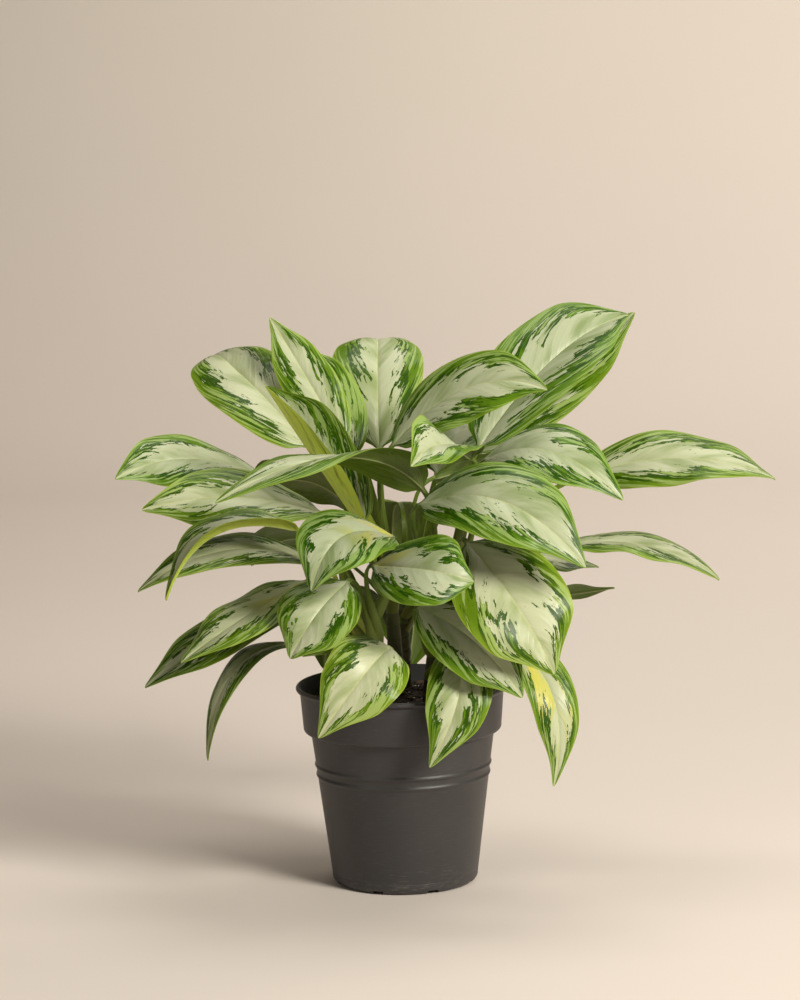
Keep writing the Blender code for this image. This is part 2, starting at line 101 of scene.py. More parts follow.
# Canes. The scars' spacing and the heights of their ridges and grooves are in millimetres.
CANE_BOW = 0.6
CANE_TAPER = 0.30
CANE_SINK = 10 * MM
CANE_RINGS = 150
CANE_SIDES = 40
CANE_TOP_ROUNDING = 4 * MM
SCAR_SPACING = (12, 15)
SCAR_RIDGE = 0.55
SCAR_GROOVE = 0.35
SCAR_TILT = 0.12
SCAR_TURN = 9  # radians from each scar to the next
CANE_SEED = 11

# Leaves.
CLEARANCE = 0.4 * MM
PETIOLE_FOOT_RADIUS = 3.6 * MM
SHEATH_STANDOFF = 1.6 * MM  # how far a sheath stands out from the cane it clasps
PETIOLE_RADIUS = 2.7 * MM
LEAF_THICKNESS = 0.6 * MM
MARGIN_THICKNESS = 0.3 * MM
WIDEST = 0.46
BASE_ROUNDNESS = 0.56
TIP_PINCH = 0.48
PINCH_START = 0.68
PETIOLE_STATIONS = 22
BLADE_STATIONS = 84
HALF_POINTS = 15  # from the midrib to the margin
MIDRIB_CROWDING = 1.25
VEIN_SPACING = 26 * MM
VEIN_SLANT = 0.30
VEIN_SWEEP = 0.33
FLUTE_HEIGHT = 0.22 * MM
GROOVE_DEPTH = 0.8 * MM
GROOVE_HALF_WIDTH = 1.3 * MM
RIB_HALF_WIDTH = 1.6 * MM
RIB_DEPTH = 2.2 * MM
RIB_FALL = 1.5 * MM  # how much shallower the rib is at the tip
WAVE_POWER = 2.2
WAVE_FULL_WIDTH = 25 * MM  # half width at which a blade has its full waves
ARCH_PEAK = 6.75  # 1 over the peak of outer * outer * (1 - outer)
LAST_STATION = 0.9985  # share along the blade of the last ring before the tip
FACE_STATION = 0.47  # share along the blade where a leaf's face is given
PETIOLE_LEAN = 0.45  # outwards for each part upwards, where a petiole leaves its cane
PETIOLE_LEAVING = 0.40  # shares of its span over which it leaves its cane and meets its blade
PETIOLE_ARRIVING = 0.30
SHEATH_WRAP = 125  # degrees to each side
STALK_WRAP = 85
FIRST_LEAF_SEED = 1000
LEAF_SEED_STEP = 3.17
SIDE_SEED_STEP = 3.7  # so that a leaf's two halves differ

# Shoots.
SHOOT_RINGS = 60
SHOOT_SIDES = 40
SHOOT_SPIRAL = 2.4  # radians that the free edge turns from foot to tip
SHOOT_STEP = 0.22  # how far the free edge stands out, as a share of the radius
SHOOT_SEED_STEP = 1.9
SHOOT_TRAITS = (0.0, 0.6, -0.5)


class Cane(NamedTuple):
    """A cane's foot and top, in centimetres, and its radius at the foot."""

    foot: tuple
    top: tuple
    radius: float


class Leaf(NamedTuple):
    """A leaf, in centimetres. face is the way its upper side looks, half way along the blade."""

    name: str
    cane: str
    node: float
    base: tuple
    middle: tuple
    tip: tuple
    width: float
    face: tuple
    fold: float = 16
    sag: float = 34
    twist: float = 0
    arch: float = 0


class Shoot(NamedTuple):
    """A new leaf, still rolled into a spear, in centimetres."""

    name: str
    cane: str
    middle: tuple
    tip: tuple
    radius: float


CANES = {
    "left": Cane((-3.2, 0.2), (-4.6, 0.4, 30.0), 0.75),
    "middle": Cane((-0.4, 1.2), (-1.2, 1.6, 33.0), 0.80),
    "right": Cane((3.4, 1.6), (5.0, 2.2, 31.5), 0.75),
    "front_left": Cane((-1.6, -3.4), (-2.6, -4.8, 27.5), 0.70),
    "front_right": Cane((2.6, -3.0), (3.8, -4.4, 28.5), 0.70),
    "back": Cane((0.2, 4.8), (0.4, 6.2, 29.0), 0.75),
}

LEAVES = (
    # Left side, from the crown down.
    Leaf(
        "leaf_01_crown_left", "middle", 29.0,
        (-8.5, 3, 43), (-15.4, 9, 49.8), (-19.2, 17.5, 50.8), 9.5, (0.3, -1, 0.5), arch=0.9,
    ),
    Leaf(
        "leaf_02_upper_left", "left", 29.2,
        (-13.5, 4, 40.3), (-21, 2, 42.4), (-27.5, -2, 41), 7, (-0.1, -0.7, 0.8), twist=-50,
    ),
    Leaf(
        "leaf_03_left", "left", 25.8,
        (-7.5, -0.5, 37), (-16, -2, 39), (-25, -3, 38), 7.4, (-0.1, -0.7, 0.75), twist=-50,
    ),
    Leaf(
        "leaf_04_left_arching", "left", 24.4,
        (-9.5, -4.5, 36), (-17.5, -8.5, 36.4), (-22.5, -9, 30), 4.8, (-0.3, -0.2, 0.9), 45,
    ),
    Leaf(
        "leaf_05_left_low", "left", 23.6,
        (-8.5, 1, 32), (-17, -3, 33.9), (-25.5, -5, 30.3), 5.4, (0, -0.5, 0.9),
    ),
    Leaf(
        "leaf_06_left_low_front", "front_left", 22.6,
        (-9, -5, 31), (-15, -9, 28.3), (-21, -12, 24.5), 7.4, (-0.4, -0.5, 0.8),
    ),
    Leaf(
        "leaf_07_left_lower", "left", 21.4,
        (-10, 0, 28.5), (-17.5, -4, 25.8), (-25, -6, 21), 6.4, (-0.3, -0.6, 0.75),
    ),
    Leaf(
        "leaf_08_left_hanging", "left", 20.0,
        (-8.5, -2, 24), (-15.8, -6, 23), (-19, -8, 14), 4.2, (-0.6, -0.4, 0.7),
    ),
    # Middle cane.
    Leaf(
        "leaf_09_crown_spire", "middle", 32.2,
        (-5.3, 3, 43.5), (-8.7, 6, 49.5), (-12.5, 9, 55.6), 5.6, (0.2, -1, 0.3),
    ),
    Leaf(
        "leaf_10_crown_behind", "middle", 31.0,
        (-4.8, 6, 41.5), (-7, 9, 47.5), (-10.5, 12, 52.5), 7, (0.2, -1, 0.3),
    ),
    Leaf(
        "leaf_11_crown_back", "middle", 30.0,
        (-1.8, 8, 42), (-1.8, 13, 50.6), (-1.6, 21, 51.4), 9.5, (0, -1, 0.5), arch=1.2,
    ),
    Leaf(
        "leaf_12_young_rolled", "middle", 27.8,
        (-3.4, -2.2, 35.6), (-8.5, -5.5, 44), (-12.3, -9, 50.5), 8.2, (0.8, -0.5, 0.28), 45, -30,
    ),
    Leaf(
        "leaf_13_crown_right", "middle", 26.8,
        (-0.5, -1, 43.5), (7, -4, 49.5), (14.5, -7, 49.4), 7.6, (-0.2, -0.8, 0.6),
    ),
    Leaf(
        "leaf_14_front_sweeping", "right", 26.5,
        (2.5, -4, 39.5), (-5.2, -12.5, 44.1), (-17, -18, 40.6), 6.6, (-0.1, 0.12, 1), twist=-100,
    ),
    # Right side, from the crown down.
    Leaf(
        "leaf_15_tall_right", "right", 30.5,
        (8, 3, 42.5), (16, 7, 51.3), (23.7, 11, 55), 10.6, (-0.45, -0.75, 0.45), 30,
    ),
    Leaf(
        "leaf_16_tall_right_back", "back", 28.6,
        (8, 8, 41.5), (16.7, 12, 48.7), (24.5, 14, 55), 7.6, (-0.3, -0.8, 0.5),
    ),
    Leaf(
        "leaf_17_right_drooping", "right", 29.2,
        (8.5, -3, 42.3), (14.8, -8, 43.6), (21.5, -10, 39), 7.8, (0.1, -0.7, 0.8),
    ),
    Leaf(
        "leaf_18_curled", "right", 24.4,
        (7.2, -4.2, 42.6), (4.1, -9.8, 44.7), (1.3, -13.8, 43.1), 6.6, (0.3, -0.45, 0.8), 30, 20, -60,
    ),
    Leaf(
        "leaf_19_far_right", "right", 27.6,
        (19, 6, 39.5), (28.5, 4, 41.2), (37.3, 1, 39.3), 7.6, (0, -0.6, 0.8), twist=-50,
    ),
    Leaf("leaf_20_right", "back", 25.4, (16, 4, 32.5), (24.5, 3, 32.7), (31.6, 0, 29.5), 6.4, (0, -0.2, 1)),
    Leaf(
        "leaf_21_right_behind", "back", 26.8,
        (9.5, 10, 32), (14.5, 12, 30.5), (20.5, 13, 29), 6, (0, -0.3, 0.9),
    ),
    Leaf(
        "leaf_22_right_low_tip", "right", 22.5,
        (10, 8, 26.5), (16, 11, 26.5), (22, 12, 27), 5, (0.1, 0.5, 0.8),
    ),
    # Front, from the top down.
    Leaf(
        "leaf_23_front_broad", "front_right", 27.4,
        (2, -7, 38.5), (10, -13, 39.5), (17.5, -16, 33.5), 9, (0.1, -0.8, 0.6),
    ),
    Leaf(
        "leaf_24_front_large", "front_right", 26.2,
        (6.5, -8, 35), (11, -13, 29.7), (14.5, -14, 23), 11, (0.2, -0.9, 0.4),
    ),
    Leaf(
        "leaf_25_front_middle", "front_left", 24.6,
        (-2.5, -10, 33.2), (2.8, -15.5, 33.5), (7, -16, 32.4), 8.2, (0, -0.8, 0.6),
    ),
    Leaf(
        "leaf_26_front_low", "front_right", 23.2,
        (1.7, -7, 28.5), (7, -12, 26), (11.5, -13, 20.6), 7.4, (-0.1, -0.9, 0.5),
    ),
    Leaf(
        "leaf_27_right_hanging", "front_right", 24.6,
        (9.5, -3, 25), (14.5, -8, 20), (14.5, -9, 11), 5, (0.3, -0.9, 0.3),
    ),
    Leaf(
        "leaf_28_front_hanging", "front_right", 20.8,
        (5, -7, 24.5), (5.5, -12, 21), (2.5, -13, 14), 6.4, (0, -1, 0.2),
    ),
    Leaf(
        "leaf_29_front_upper_left", "front_left", 27.0,
        (-0.5, -6.5, 35.4), (-5.4, -14, 36.6), (-8.3, -16, 31.8), 8, (-0.1, -0.8, 0.6),
    ),
    Leaf(
        "leaf_30_front_left", "front_left", 22.2,
        (-5, -9, 31.5), (-8, -13, 29), (-10.5, -14, 25), 7.8, (-0.2, -0.9, 0.5),
    ),
    Leaf(
        "leaf_31_front_left_behind", "left", 18.8,
        (-5.5, -5, 26), (-7.5, -8.5, 26), (-9.5, -10, 24.5), 5, (-0.2, -0.7, 0.7),
    ),
    Leaf(
        "leaf_32_front_left_hanging", "front_left", 20.6,
        (-1, -9, 25), (-3.4, -14, 23.5), (-8, -15, 17.5), 7.8, (0, -1, 0.35),
    ),
    # Back.
    Leaf(
        "leaf_33_back_upper_left", "back", 28.2,
        (-4.5, 10, 36), (-9.8, 13.5, 38.6), (-16, 17, 36.5), 8, (-0.1, 0.75, 0.65),
    ),
    Leaf("leaf_34_back_upper_right", "back", 27.5, (4, 12, 39), (7, 18, 43), (11, 25, 41), 8, (0, -0.2, 1)),
    Leaf(
        "leaf_35_back_core", "back", 25.4,
        (0.1, 10.8, 36.3), (-0.6, 14.5, 34), (-0.6, 18, 26), 8.6, (0, 0.8, 0.6),
    ),
    Leaf(
        "leaf_36_back_left", "back", 24.8,
        (-6, 11, 31), (-11, 15.5, 32.3), (-15.5, 20, 28.8), 7.5, (-0.1, 0.6, 0.75),
    ),
    Leaf(
        "leaf_37_back_right", "back", 24.0,
        (5.5, 12, 30), (9, 18, 30.5), (12, 24, 27), 7.5, (0.1, 0.3, 0.9),
    ),
    Leaf(
        "leaf_38_back_low_left", "back", 22.2,
        (-3.8, 9.3, 28), (-6.6, 13, 25.5), (-8, 15, 18.5), 9, (-0.2, 0.75, 0.6),
    ),
    Leaf(
        "leaf_39_back_low_right", "back", 21.0,
        (0.6, 9.8, 27), (1.4, 13.4, 24.6), (0.6, 15.4, 18), 8.6, (0.1, 0.75, 0.6),
    ),
    Leaf(
        "leaf_40_inner_right", "right", 20.6,
        (3.6, 3.4, 39.8), (8.3, 5.6, 40.2), (13, 6.6, 38.8), 5.8, (0.1, 0.75, 0.65),
    ),
)

SHOOTS = (
    Shoot("shoot_middle", "middle", (-2.0, 0.6, 36.8), (-2.8, -0.6, 41.0), 0.34),
    Shoot("shoot_right", "right", (5.8, 2.4, 34.5), (6.2, 2.6, 37.5), 0.30),
)

# Leaves whose underside is young and pale, and bright with painted light shining through the leaf, from 0 to
# 1.
YOUNG_AND_LIT_THROUGH = {
    "leaf_12_young_rolled": 1.0,
    "leaf_04_left_arching": 0.6,
    "leaf_09_crown_spire": 0.9,
}

# Leaves with yellowed patches, and the share of the blade from its base that these reach.
YELLOWED = {
    "leaf_29_front_upper_left": 0.6,
    "leaf_27_right_hanging": 1.1,
    "leaf_25_front_middle": 0.35,
    "leaf_06_left_low_front": 0.5,
}


# Node graphs.


class Graph:
    """A material's node tree, built by calls that take and return sockets or numbers."""

    def __init__(self, name):
        self.material = bpy.data.materials.new(name)
        self.material.use_nodes = True
        self.nodes = self.material.node_tree.nodes
        self.links = self.material.node_tree.links
        self.shader = self.nodes["Principled BSDF"]

    def put(self, value, socket):
        if isinstance(value, bpy.types.NodeSocket):
            self.links.new(value, socket)
        else:
            socket.default_value = value

    def add(self, kind, **settings):
        node = self.nodes.new(kind)
        for key, value in settings.items():
            setattr(node, key, value)
        return node

    def math(self, operation, a, b=0.0, c=0.0, clamp=False):
        node = self.add("ShaderNodeMath", operation=operation, use_clamp=clamp)
        for value, socket in zip((a, b, c), node.inputs):
            self.put(value, socket)
        return node.outputs[0]

    def attribute(self, name):
        return self.add("ShaderNodeAttribute", attribute_name=name)

    def parts(self, vector):
        node = self.add("ShaderNodeSeparateXYZ")
        self.put(vector, node.inputs[0])
        return node.outputs

    def vector(self, x, y, z):
        node = self.add("ShaderNodeCombineXYZ")
        for value, socket in zip((x, y, z), node.inputs):
            self.put(value, socket)
        return node.outputs[0]

    def object_place(self):
        return self.add("ShaderNodeTexCoord").outputs["Object"]

    def noise(self, vector, scale, detail=2.0, roughness=0.5, distortion=0.0):
        node = self.add("ShaderNodeTexNoise")
        self.put(vector, node.inputs["Vector"])
        node.inputs["Scale"].default_value = scale
        node.inputs["Detail"].default_value = detail
        node.inputs["Roughness"].default_value = roughness
        node.inputs["Distortion"].default_value = distortion
        return node.outputs["Fac"]

    def step(self, value, low, high):
        """0 below low, 1 above high, and smooth between."""
        node = self.add("ShaderNodeMapRange", interpolation_type="SMOOTHSTEP")
        self.put(value, node.inputs["Value"])
        self.put(low, node.inputs["From Min"])
        self.put(high, node.inputs["From Max"])
        return node.outputs["Result"]

    def mix(self, share, a, b, blend="MIX"):
        node = self.add("ShaderNodeMix", data_type="RGBA", blend_type=blend)
        self.put(share, node.inputs["Factor"])
        for value, socket in ((a, node.inputs["A"]), (b, node.inputs["B"])):
            self.put((*value, 1.0) if isinstance(value, tuple) else value, socket)
        return node.outputs["Result"]

    def bump(self, height, strength, distance, normal=None):
        node = self.add("ShaderNodeBump")
        node.inputs["Strength"].default_value = strength
        node.inputs["Distance"].default_value = distance
        self.put(height, node.inputs["Height"])
        if normal is not None:
            self.put(normal, node.inputs["Normal"])
        return node.outputs["Normal"]

    def finish(self, color, roughness, normal=None, **uniform):
        self.put(color, self.shader.inputs["Base Color"])
        self.put(roughness, self.shader.inputs["Roughness"])
        if normal is not None:
            self.put(normal, self.shader.inputs["Normal"])
        for key, value in uniform.items():
            self.shader.inputs[key.replace("_", " ")].default_value = value
        return self.material


# Materials.

SILVER = (0.46, 0.495, 0.315)
SILVER_SHADE = (0.235, 0.295, 0.115)
DEEP_GREEN = (0.026, 0.072, 0.0010)
MID_GREEN = (0.090, 0.180, 0.006)
STRIPE_GREEN = (0.26, 0.36, 0.10)
EDGE_GREEN = (0.27, 0.38, 0.035)
UNDER_GREEN = (0.080, 0.130, 0.007)
# painted light: a young underside's pale green, brightened further to stand for light shining through the
# leaf
UNDER_YOUNG_LIT_THROUGH = (0.64, 0.78, 0.10)
RIB_GREEN = (0.50, 0.54, 0.24)
YELLOW = (0.55, 0.52, 0.10)
SHEATH_GREEN = (0.22, 0.25, 0.06)
STALK_GREEN = (0.12, 0.175, 0.022)
CANE_GREEN = ((0.055, 0.065, 0.016), (0.13, 0.14, 0.045))
CANE_BROWN = ((0.040, 0.022, 0.012), (0.10, 0.064, 0.032))
SOIL_BROWN = ((0.006, 0.004, 0.003), (0.055, 0.032, 0.019))
SOIL_PATCH = (0.022, 0.014, 0.009)
PERLITE = ((0.42, 0.39, 0.34), (0.80, 0.78, 0.72))
BARK = ((0.035, 0.020, 0.012), (0.17, 0.095, 0.050))
PEAT = ((0.012, 0.008, 0.005), (0.07, 0.042, 0.026))
CHARCOAL = ((0.028, 0.0265, 0.026), (0.047, 0.0445, 0.043))
DUST = (0.19, 0.17, 0.15)
# painted light: the floor's tone stands for the same paper lit more strongly from above
LIT_PAPER_FLOOR = (0.74, 0.66, 0.60)
PAPER_WALL = (0.73, 0.665, 0.585)
DARK_GREY = (0.3, 0.3, 0.3)
LIGHT_GREY = (0.7, 0.7, 0.7)
BLACK = (0.0, 0.0, 0.0)


def scaled_noise(g, x, y, z, scales, fineness=1.0, **settings):
    """Noise at (x, y), each times its own scale, and z."""
    place = g.vector(g.math("MULTIPLY", x, scales[0]), g.math("MULTIPLY", y, scales[1]), z)
    return g.noise(place, fineness, **settings)


def reseeded(g, seed, more):
    return g.math("ADD", seed, more)


def silver_share(g, along, across, flow, seed):
    """How far inside the silver centre's ragged edge a point lies: negative in the border."""
    near_tip = g.step(along, 0.70, 1.0)
    slow = scaled_noise(g, flow, across, seed, (26.0, 0.9))
    flakes = scaled_noise(
        g, flow, across, reseeded(g, seed, 7.0), (64.0, 4.2), detail=6.0, roughness=0.62, distortion=0.7
    )
    edge = g.math("MULTIPLY_ADD", slow, 0.9, 0.06)
    edge = g.math("SUBTRACT", edge, g.math("MULTIPLY", near_tip, 0.15))
    inside = g.math("SUBTRACT", edge, across)
    return g.math("ADD", inside, g.math("MULTIPLY_ADD", flakes, 1.7, -0.85))


def green_border(g, across, flow, seed, ragged):
    """Mid green with deep green flakes round the silver, pale streaks, and a yellower margin."""
    pale = scaled_noise(
        g, flow, across, reseeded(g, seed, 29.0), (66.0, 2.6), detail=4.0, roughness=0.60, distortion=0.35
    )
    deep = scaled_noise(g, flow, across, reseeded(g, seed, 53.0), (48.0, 2.6), detail=3.0, roughness=0.58)
    near_silver = g.step(ragged, -0.34, -0.02)
    deep = g.step(g.math("MULTIPLY_ADD", near_silver, 0.16, deep), 0.52, 0.60)
    border = g.mix(deep, MID_GREEN, DEEP_GREEN)
    stripe = g.step(g.math("MULTIPLY_ADD", near_silver, -0.10, pale), 0.495, 0.53)
    border = g.mix(stripe, border, STRIPE_GREEN)
    toward_margin = g.step(across, 0.80, 1.0)
    return g.mix(g.math("MULTIPLY", toward_margin, 0.28), border, EDGE_GREEN)


def silver_centre(g, along, across, flow, seed, yellow):
    """Silver with greener shades, turned yellow in patches near the base of an ageing leaf."""
    tone = scaled_noise(g, flow, across, reseeded(g, seed, 41.0), (28.0, 1.0), detail=3.0)
    shade = g.math("MULTIPLY", g.step(tone, 0.40, 0.70), 0.9)
    centre = g.mix(shade, SILVER, SILVER_SHADE)
    aged = g.math("MULTIPLY", yellow, 3.0, clamp=True)
    aged = g.math("MULTIPLY", aged, g.step(along, yellow, g.math("MULTIPLY", yellow, 0.3)))
    return g.mix(g.math("MULTIPLY", aged, g.step(tone, 0.40, 0.62)), centre, YELLOW)


def leaf_pattern(g, along, across, flow, seed, yellow):
    """The upper side's colour: a silver centre with a ragged edge in a flecked green border."""
    ragged = silver_share(g, along, across, flow, seed)
    border = green_border(g, across, flow, seed, ragged)
    centre = silver_centre(g, along, across, flow, seed, yellow)
    return g.mix(g.step(ragged, -0.012, 0.012), border, centre)


def underside(g, flow, from_rib, seed, young, blade, rib):
    """Plain green, or bright in patches on a young leaf, partly its paler young colour and partly painted
    light shining through the leaf, with a trace of the upper side's pattern.
    """
    fresh = scaled_noise(g, flow, from_rib, seed, (0.4, 1.0), 120.0, detail=3.0)
    beneath = g.mix(g.math("MULTIPLY", young, g.step(fresh, 0.15, 0.50)), UNDER_GREEN, UNDER_YOUNG_LIT_THROUGH)
    beneath = g.mix(0.12, beneath, blade)
    return g.mix(g.math("MULTIPLY", rib, 0.6), beneath, RIB_GREEN)


def petiole_color(g, along, signed, seed, young):
    petiole = g.mix(g.step(along, -1.0, -0.35), SHEATH_GREEN, STALK_GREEN)
    stripes = scaled_noise(g, along, signed, seed, (2.0, 9.0), 1.6, detail=3.0)
    petiole = g.mix(g.math("MULTIPLY", stripes, 0.5), petiole, UNDER_GREEN)
    # a young leaf's stalk takes its paler young green together with painted light shining through it
    return g.mix(g.math("MULTIPLY", young, 0.7), petiole, UNDER_YOUNG_LIT_THROUGH)


def tinted(g, color, tint):
    """The colour turned a little in hue and brightness by a number from -1 to 1."""
    hue = g.add("ShaderNodeHueSaturation")
    g.put(g.math("MULTIPLY_ADD", tint, 0.010, 0.5), hue.inputs["Hue"])
    g.put(g.math("MULTIPLY_ADD", tint, -0.10, 1.0), hue.inputs["Value"])
    g.put(color, hue.inputs["Color"])
    return hue.outputs["Color"]


def leaf_relief(g, signed, across, flow, from_rib, width, seed, mottle):
    """The bumps of lateral veins, mottling and grain."""
    waver = g.noise(g.vector(flow, from_rib, seed), 30.0, detail=1.0)
    ridges = g.math("MULTIPLY", flow, 2 * math.pi / VEIN_SPACING)
    vein = g.math("SINE", g.math("MULTIPLY_ADD", waver, 9.0, ridges))
    vein = g.math("POWER", g.math("ABSOLUTE", vein), 9.0)
    vein = g.math("MULTIPLY", vein, g.step(across, 1.0, 0.4))
    grain = g.noise(g.vector(flow, g.math("MULTIPLY", signed, width), seed), 1300.0, detail=2.0)
    normal = g.bump(vein, 0.22, 0.0005)
    normal = g.bump(mottle, 0.25, 0.0002, normal)
    return g.bump(grain, 0.12, 0.0001, normal)


def leaf_material():
    """Reads each point's place, flow and traits.

    place is the share along the blade, the signed share across it, and 1 on the underside. flow is the
    distance that tells the lateral veins apart, a number for the leaf, and its half width there. traits
    are how young the leaf is, which also sets how much painted light shines through its underside, how
    yellowed it is, and its tint.
    """
    g = Graph("leaf")
    along, signed, under = g.parts(g.attribute("place").outputs["Vector"])
    flow, seed, width = g.parts(g.attribute("flow").outputs["Vector"])
    young, yellow, tint = g.parts(g.attribute("traits").outputs["Vector"])
    across = g.math("ABSOLUTE", signed)
    side = g.math("MULTIPLY_ADD", g.math("GREATER_THAN", signed, 0.0), SIDE_SEED_STEP, seed)
    blade = leaf_pattern(g, along, across, flow, side, yellow)
    from_rib = g.math("MULTIPLY", across, width)
    rib = g.math("SUBTRACT", 1.0, g.step(from_rib, 0.0003, 0.0012))
    blade = g.mix(g.math("MULTIPLY", rib, 0.45), blade, RIB_GREEN)
    from_margin = g.math("SUBTRACT", width, from_rib)
    margin = g.math("SUBTRACT", 1.0, g.step(from_margin, 0.0003, 0.0011))
    blade = g.mix(g.math("MULTIPLY", margin, 0.6), blade, EDGE_GREEN)
    color = g.mix(under, blade, underside(g, flow, from_rib, seed, young, blade, rib))
    mottle = g.noise(g.vector(flow, from_rib, seed), 380.0, detail=3.0)
    color = g.mix(0.10, color, g.mix(mottle, DARK_GREY, LIGHT_GREY), blend="OVERLAY")
    petiole = petiole_color(g, along, signed, seed, young)
    color = g.mix(g.step(along, -0.02, 0.03), petiole, color)
    normal = leaf_relief(g, signed, across, flow, from_rib, width, seed, mottle)
    roughness = g.math("MULTIPLY_ADD", mottle, 0.16, 0.25)
    roughness = g.math("MULTIPLY_ADD", under, 0.15, roughness)
    return g.finish(tinted(g, color, tint), roughness, normal, Specular_IOR_Level=0.18)


def cane_material():
    g = Graph("cane")
    place = g.object_place()
    x, y, height = g.parts(place)
    rough_patch = g.noise(place, 90.0, detail=4.0)
    streaks = scaled_noise(g, x, y, height, (9.0, 1.0), 60.0, detail=3.0)
    green = g.mix(streaks, *CANE_GREEN)
    brown = g.mix(rough_patch, *CANE_BROWN)
    color = g.mix(g.step(g.math("MULTIPLY_ADD", rough_patch, 0.06, height), 0.23, 0.28), brown, green)
    normal = g.bump(rough_patch, 0.5, 0.0006)
    return g.finish(color, 0.62, normal)


def soil_material():
    g = Graph("soil")
    place = g.object_place()
    crumbs = g.noise(place, 260.0, detail=6.0, roughness=0.65)
    patches = g.noise(place, 45.0, detail=3.0)
    color = g.mix(crumbs, *SOIL_BROWN)
    color = g.mix(g.math("MULTIPLY", patches, 0.5), color, SOIL_PATCH)
    normal = g.bump(crumbs, 0.9, 0.0015)
    return g.finish(color, g.math("MULTIPLY_ADD", patches, 0.2, 0.75), normal)


def chip_material(name, tones, roughness):
    dark, light = tones
    g = Graph(name)
    place = g.object_place()
    grain = g.noise(place, 500.0, detail=4.0)
    lumps = g.noise(place, 120.0)
    color = g.mix(lumps, dark, g.mix(grain, dark, light))
    return g.finish(color, roughness, g.bump(grain, 0.6, 0.0004))


def pot_material():
    """Moulded charcoal plastic: a fine texture, faint flow marks, and dust, more of it near the foot."""
    g = Graph("pot_plastic")
    place = g.object_place()
    x, y, height = g.parts(place)
    texture = g.noise(place, 1400.0, detail=2.0)
    clouds = g.noise(place, 16.0, detail=4.0, roughness=0.6)
    marks = g.noise(g.vector(x, y, g.math("MULTIPLY", height, 0.12)), 130.0, detail=3.0)
    color = g.mix(clouds, *CHARCOAL)
    scuff = g.noise(g.vector(x, y, g.math("MULTIPLY", height, 6.0)), 90.0, detail=5.0, roughness=0.7)
    low = g.step(height, 0.035, 0.0)
    dust = g.math("MULTIPLY", g.step(scuff, 0.50, 0.75), g.math("MULTIPLY_ADD", low, 0.35, 0.10))
    color = g.mix(dust, color, DUST)
    roughness = g.math("MULTIPLY_ADD", clouds, 0.16, 0.36)
    roughness = g.math("MULTIPLY_ADD", dust, 0.4, roughness)
    normal = g.bump(marks, 0.10, 0.0006)
    normal = g.bump(texture, 0.22, 0.00012, normal)
    return g.finish(color, roughness, normal, Specular_IOR_Level=0.45)


def stage_material(name, low, high):
    """Paper that goes from one tone on the floor to another up the wall; the floor's tone is painted light,
    for the stronger light that falls on it from above.
    """
    g = Graph(name)
    place = g.object_place()
    clouds = g.noise(place, 1.3, detail=3.0)
    tone = g.mix(g.step(g.parts(place)[2], 0.0, 0.9), low, high)
    shade = g.mix(g.math("MULTIPLY", clouds, 0.06), tone, BLACK)
    return g.finish(shade, 0.85)


# Meshes.


def mesh_piece(name, points, faces, finish, stands_for=(), smooth_angle=50):
    mesh = bpy.data.meshes.new(name)
    mesh.from_pydata(points, [], faces)
    mesh.materials.append(finish)
    mesh.shade_smooth()
    mesh.set_sharp_from_angle(angle=math.radians(smooth_angle))
    obj = bpy.data.objects.new(name, mesh)
    bpy.context.scene.collection.objects.link(obj)
    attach(obj, BODY)
    if stands_for:
        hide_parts(*stands_for)
    return obj


def loft_faces(rings, count):
    """Faces between rings of equal length, closed by a cap at each end and facing out."""
    faces = []
    for k in range(rings - 1):
        for i in range(count):
            j = (i + 1) % count
            faces.append((k * count + i, k * count + j, (k + 1) * count + j, (k + 1) * count + i))
    faces.append(tuple(reversed(range(count))))
    faces.append(tuple((rings - 1) * count + i for i in range(count)))
    return faces


def lathe(profile, segments):
    """Points and faces of a profile turned round the Z axis. It starts and ends on the axis."""
    inner = profile[1:-1]
    points = [(0.0, 0.0, profile[0][1]), (0.0, 0.0, profile[-1][1])]
    for k in range(segments):
        turn = 2 * math.pi * k / segments
        points += [(r * math.cos(turn), r * math.sin(turn), z) for r, z in inner]
    faces = []
    count = len(inner)
    for k in range(segments):
        here, after = 2 + k * count, 2 + (k + 1) % segments * count
        faces.append((0, after, here))
        faces.append((1, here + count - 1, after + count - 1))
        for i in range(count - 1):
            faces.append((here + i, after + i, after + i + 1, here + i + 1))
    return points, faces


# The pot.


def arc(centre, radius, start, end, steps):
    turns = (math.radians(start + (end - start) * k / steps) for k in range(steps + 1))
    return [(centre[0] + radius * math.cos(a), centre[1] + radius * math.sin(a)) for a in turns]


def body_radius(z):
    return BODY_BASE_RADIUS + BODY_TAPER * z


def bead(height, rise, half_width):
    """A rounded ring round the body, or a groove where rise is negative."""
    points = []
    for k in range(-4, 5):
        share = k / 4
        z = height + share * half_width
        points.append((body_radius(z) + rise * (0.5 + 0.5 * math.cos(math.pi * share)), z))
    return points


def pot_outside():
    points = arc((FOOT_RADIUS, CORNER_ROUNDING), CORNER_ROUNDING, -90, -8, 10)
    points += bead(FOOT_LINE, -FOOT_LINE_DEPTH, FOOT_LINE_HALF_WIDTH)
    for height in reversed(BEAD_HEIGHTS):
        points += bead(height, BEAD_RISE, BEAD_HALF_WIDTH)
    step = BAND_BOTTOM - STEP_ROUNDING
    fillet = (body_radius(step) + STEP_FILLET, step - STEP_FILLET)
    points += arc(fillet, STEP_FILLET, 180, 90, 5)[:-1]
    points += arc((BAND_BOTTOM_RADIUS - STEP_ROUNDING, BAND_BOTTOM), STEP_ROUNDING, -88, 0, 8)
    points.append((BAND_TOP_RADIUS, POT_HEIGHT - LIP_HEIGHT - LIP_GAP))
    lip = LIP_HEIGHT / 2
    points += arc((LIP_RADIUS - lip, POT_HEIGHT - lip), lip, -65, 90, 12)
    return points


